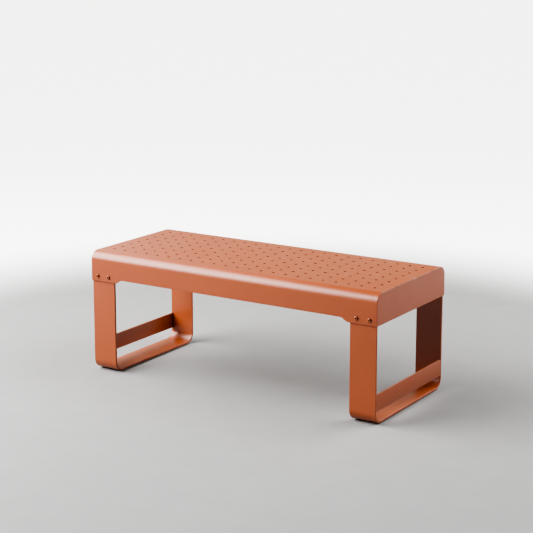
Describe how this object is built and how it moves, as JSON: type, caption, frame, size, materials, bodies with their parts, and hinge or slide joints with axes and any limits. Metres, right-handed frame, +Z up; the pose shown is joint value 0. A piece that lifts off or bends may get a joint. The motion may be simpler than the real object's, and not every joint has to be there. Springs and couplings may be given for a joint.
{
  "type": "backless bench",
  "caption": "Backless steel bench: folded seat with a square grid of small holes, flat end plates, on U-shaped flat-bar legs with a crossbar.",
  "frame": {"origin": "on the floor, under the middle of the seat", "axes": "+X along the bench to the right seen from the front, +Y to the rear, +Z up"},
  "size_m": [1.2, 0.5094, 0.455],
  "materials": {
    "seat_coating": "satin powder coat, terracotta orange",
    "end_coating": "satin powder coat, terracotta orange",
    "leg_coating": "satin powder coat, terracotta orange",
    "screw_coating": "satin powder coat, terracotta orange",
    "zinc_plating": "zinc plated",
    "glide_rubber": "matt black"
  },
  "bodies": {
    "root": {"seat_panel": "seat_coating", "end_plate_left": "end_coating", "end_plate_right": "end_coating", "seat_rib_left": "seat_coating", "seat_rib_right": "seat_coating", "leg_left": "leg_coating", "leg_right": "leg_coating", "crossbar_left": "leg_coating", "crossbar_right": "leg_coating", "glide_left_front": "glide_rubber", "glide_left_rear": "glide_rubber", "glide_right_front": "glide_rubber", "glide_right_rear": "glide_rubber", "screw_left_front_inner": "screw_coating", "screw_left_front_outer": "screw_coating", "screw_left_rear_inner": "screw_coating", "screw_left_rear_outer": "screw_coating", "screw_right_front_inner": "screw_coating", "screw_right_front_outer": "screw_coating", "screw_right_rear_inner": "screw_coating", "screw_right_rear_outer": "screw_coating", "washer_left_front_inner": "zinc_plating", "washer_left_front_outer": "zinc_plating", "washer_left_rear_inner": "zinc_plating", "washer_left_rear_outer": "zinc_plating", "washer_right_front_inner": "zinc_plating", "washer_right_front_outer": "zinc_plating", "washer_right_rear_inner": "zinc_plating", "washer_right_rear_outer": "zinc_plating", "nut_left_front_inner": "zinc_plating", "nut_left_front_outer": "zinc_plating", "nut_left_rear_inner": "zinc_plating", "nut_left_rear_outer": "zinc_plating", "nut_right_front_inner": "zinc_plating", "nut_right_front_outer": "zinc_plating", "nut_right_rear_inner": "zinc_plating", "nut_right_rear_outer": "zinc_plating"}
  },
  "joints": []
}
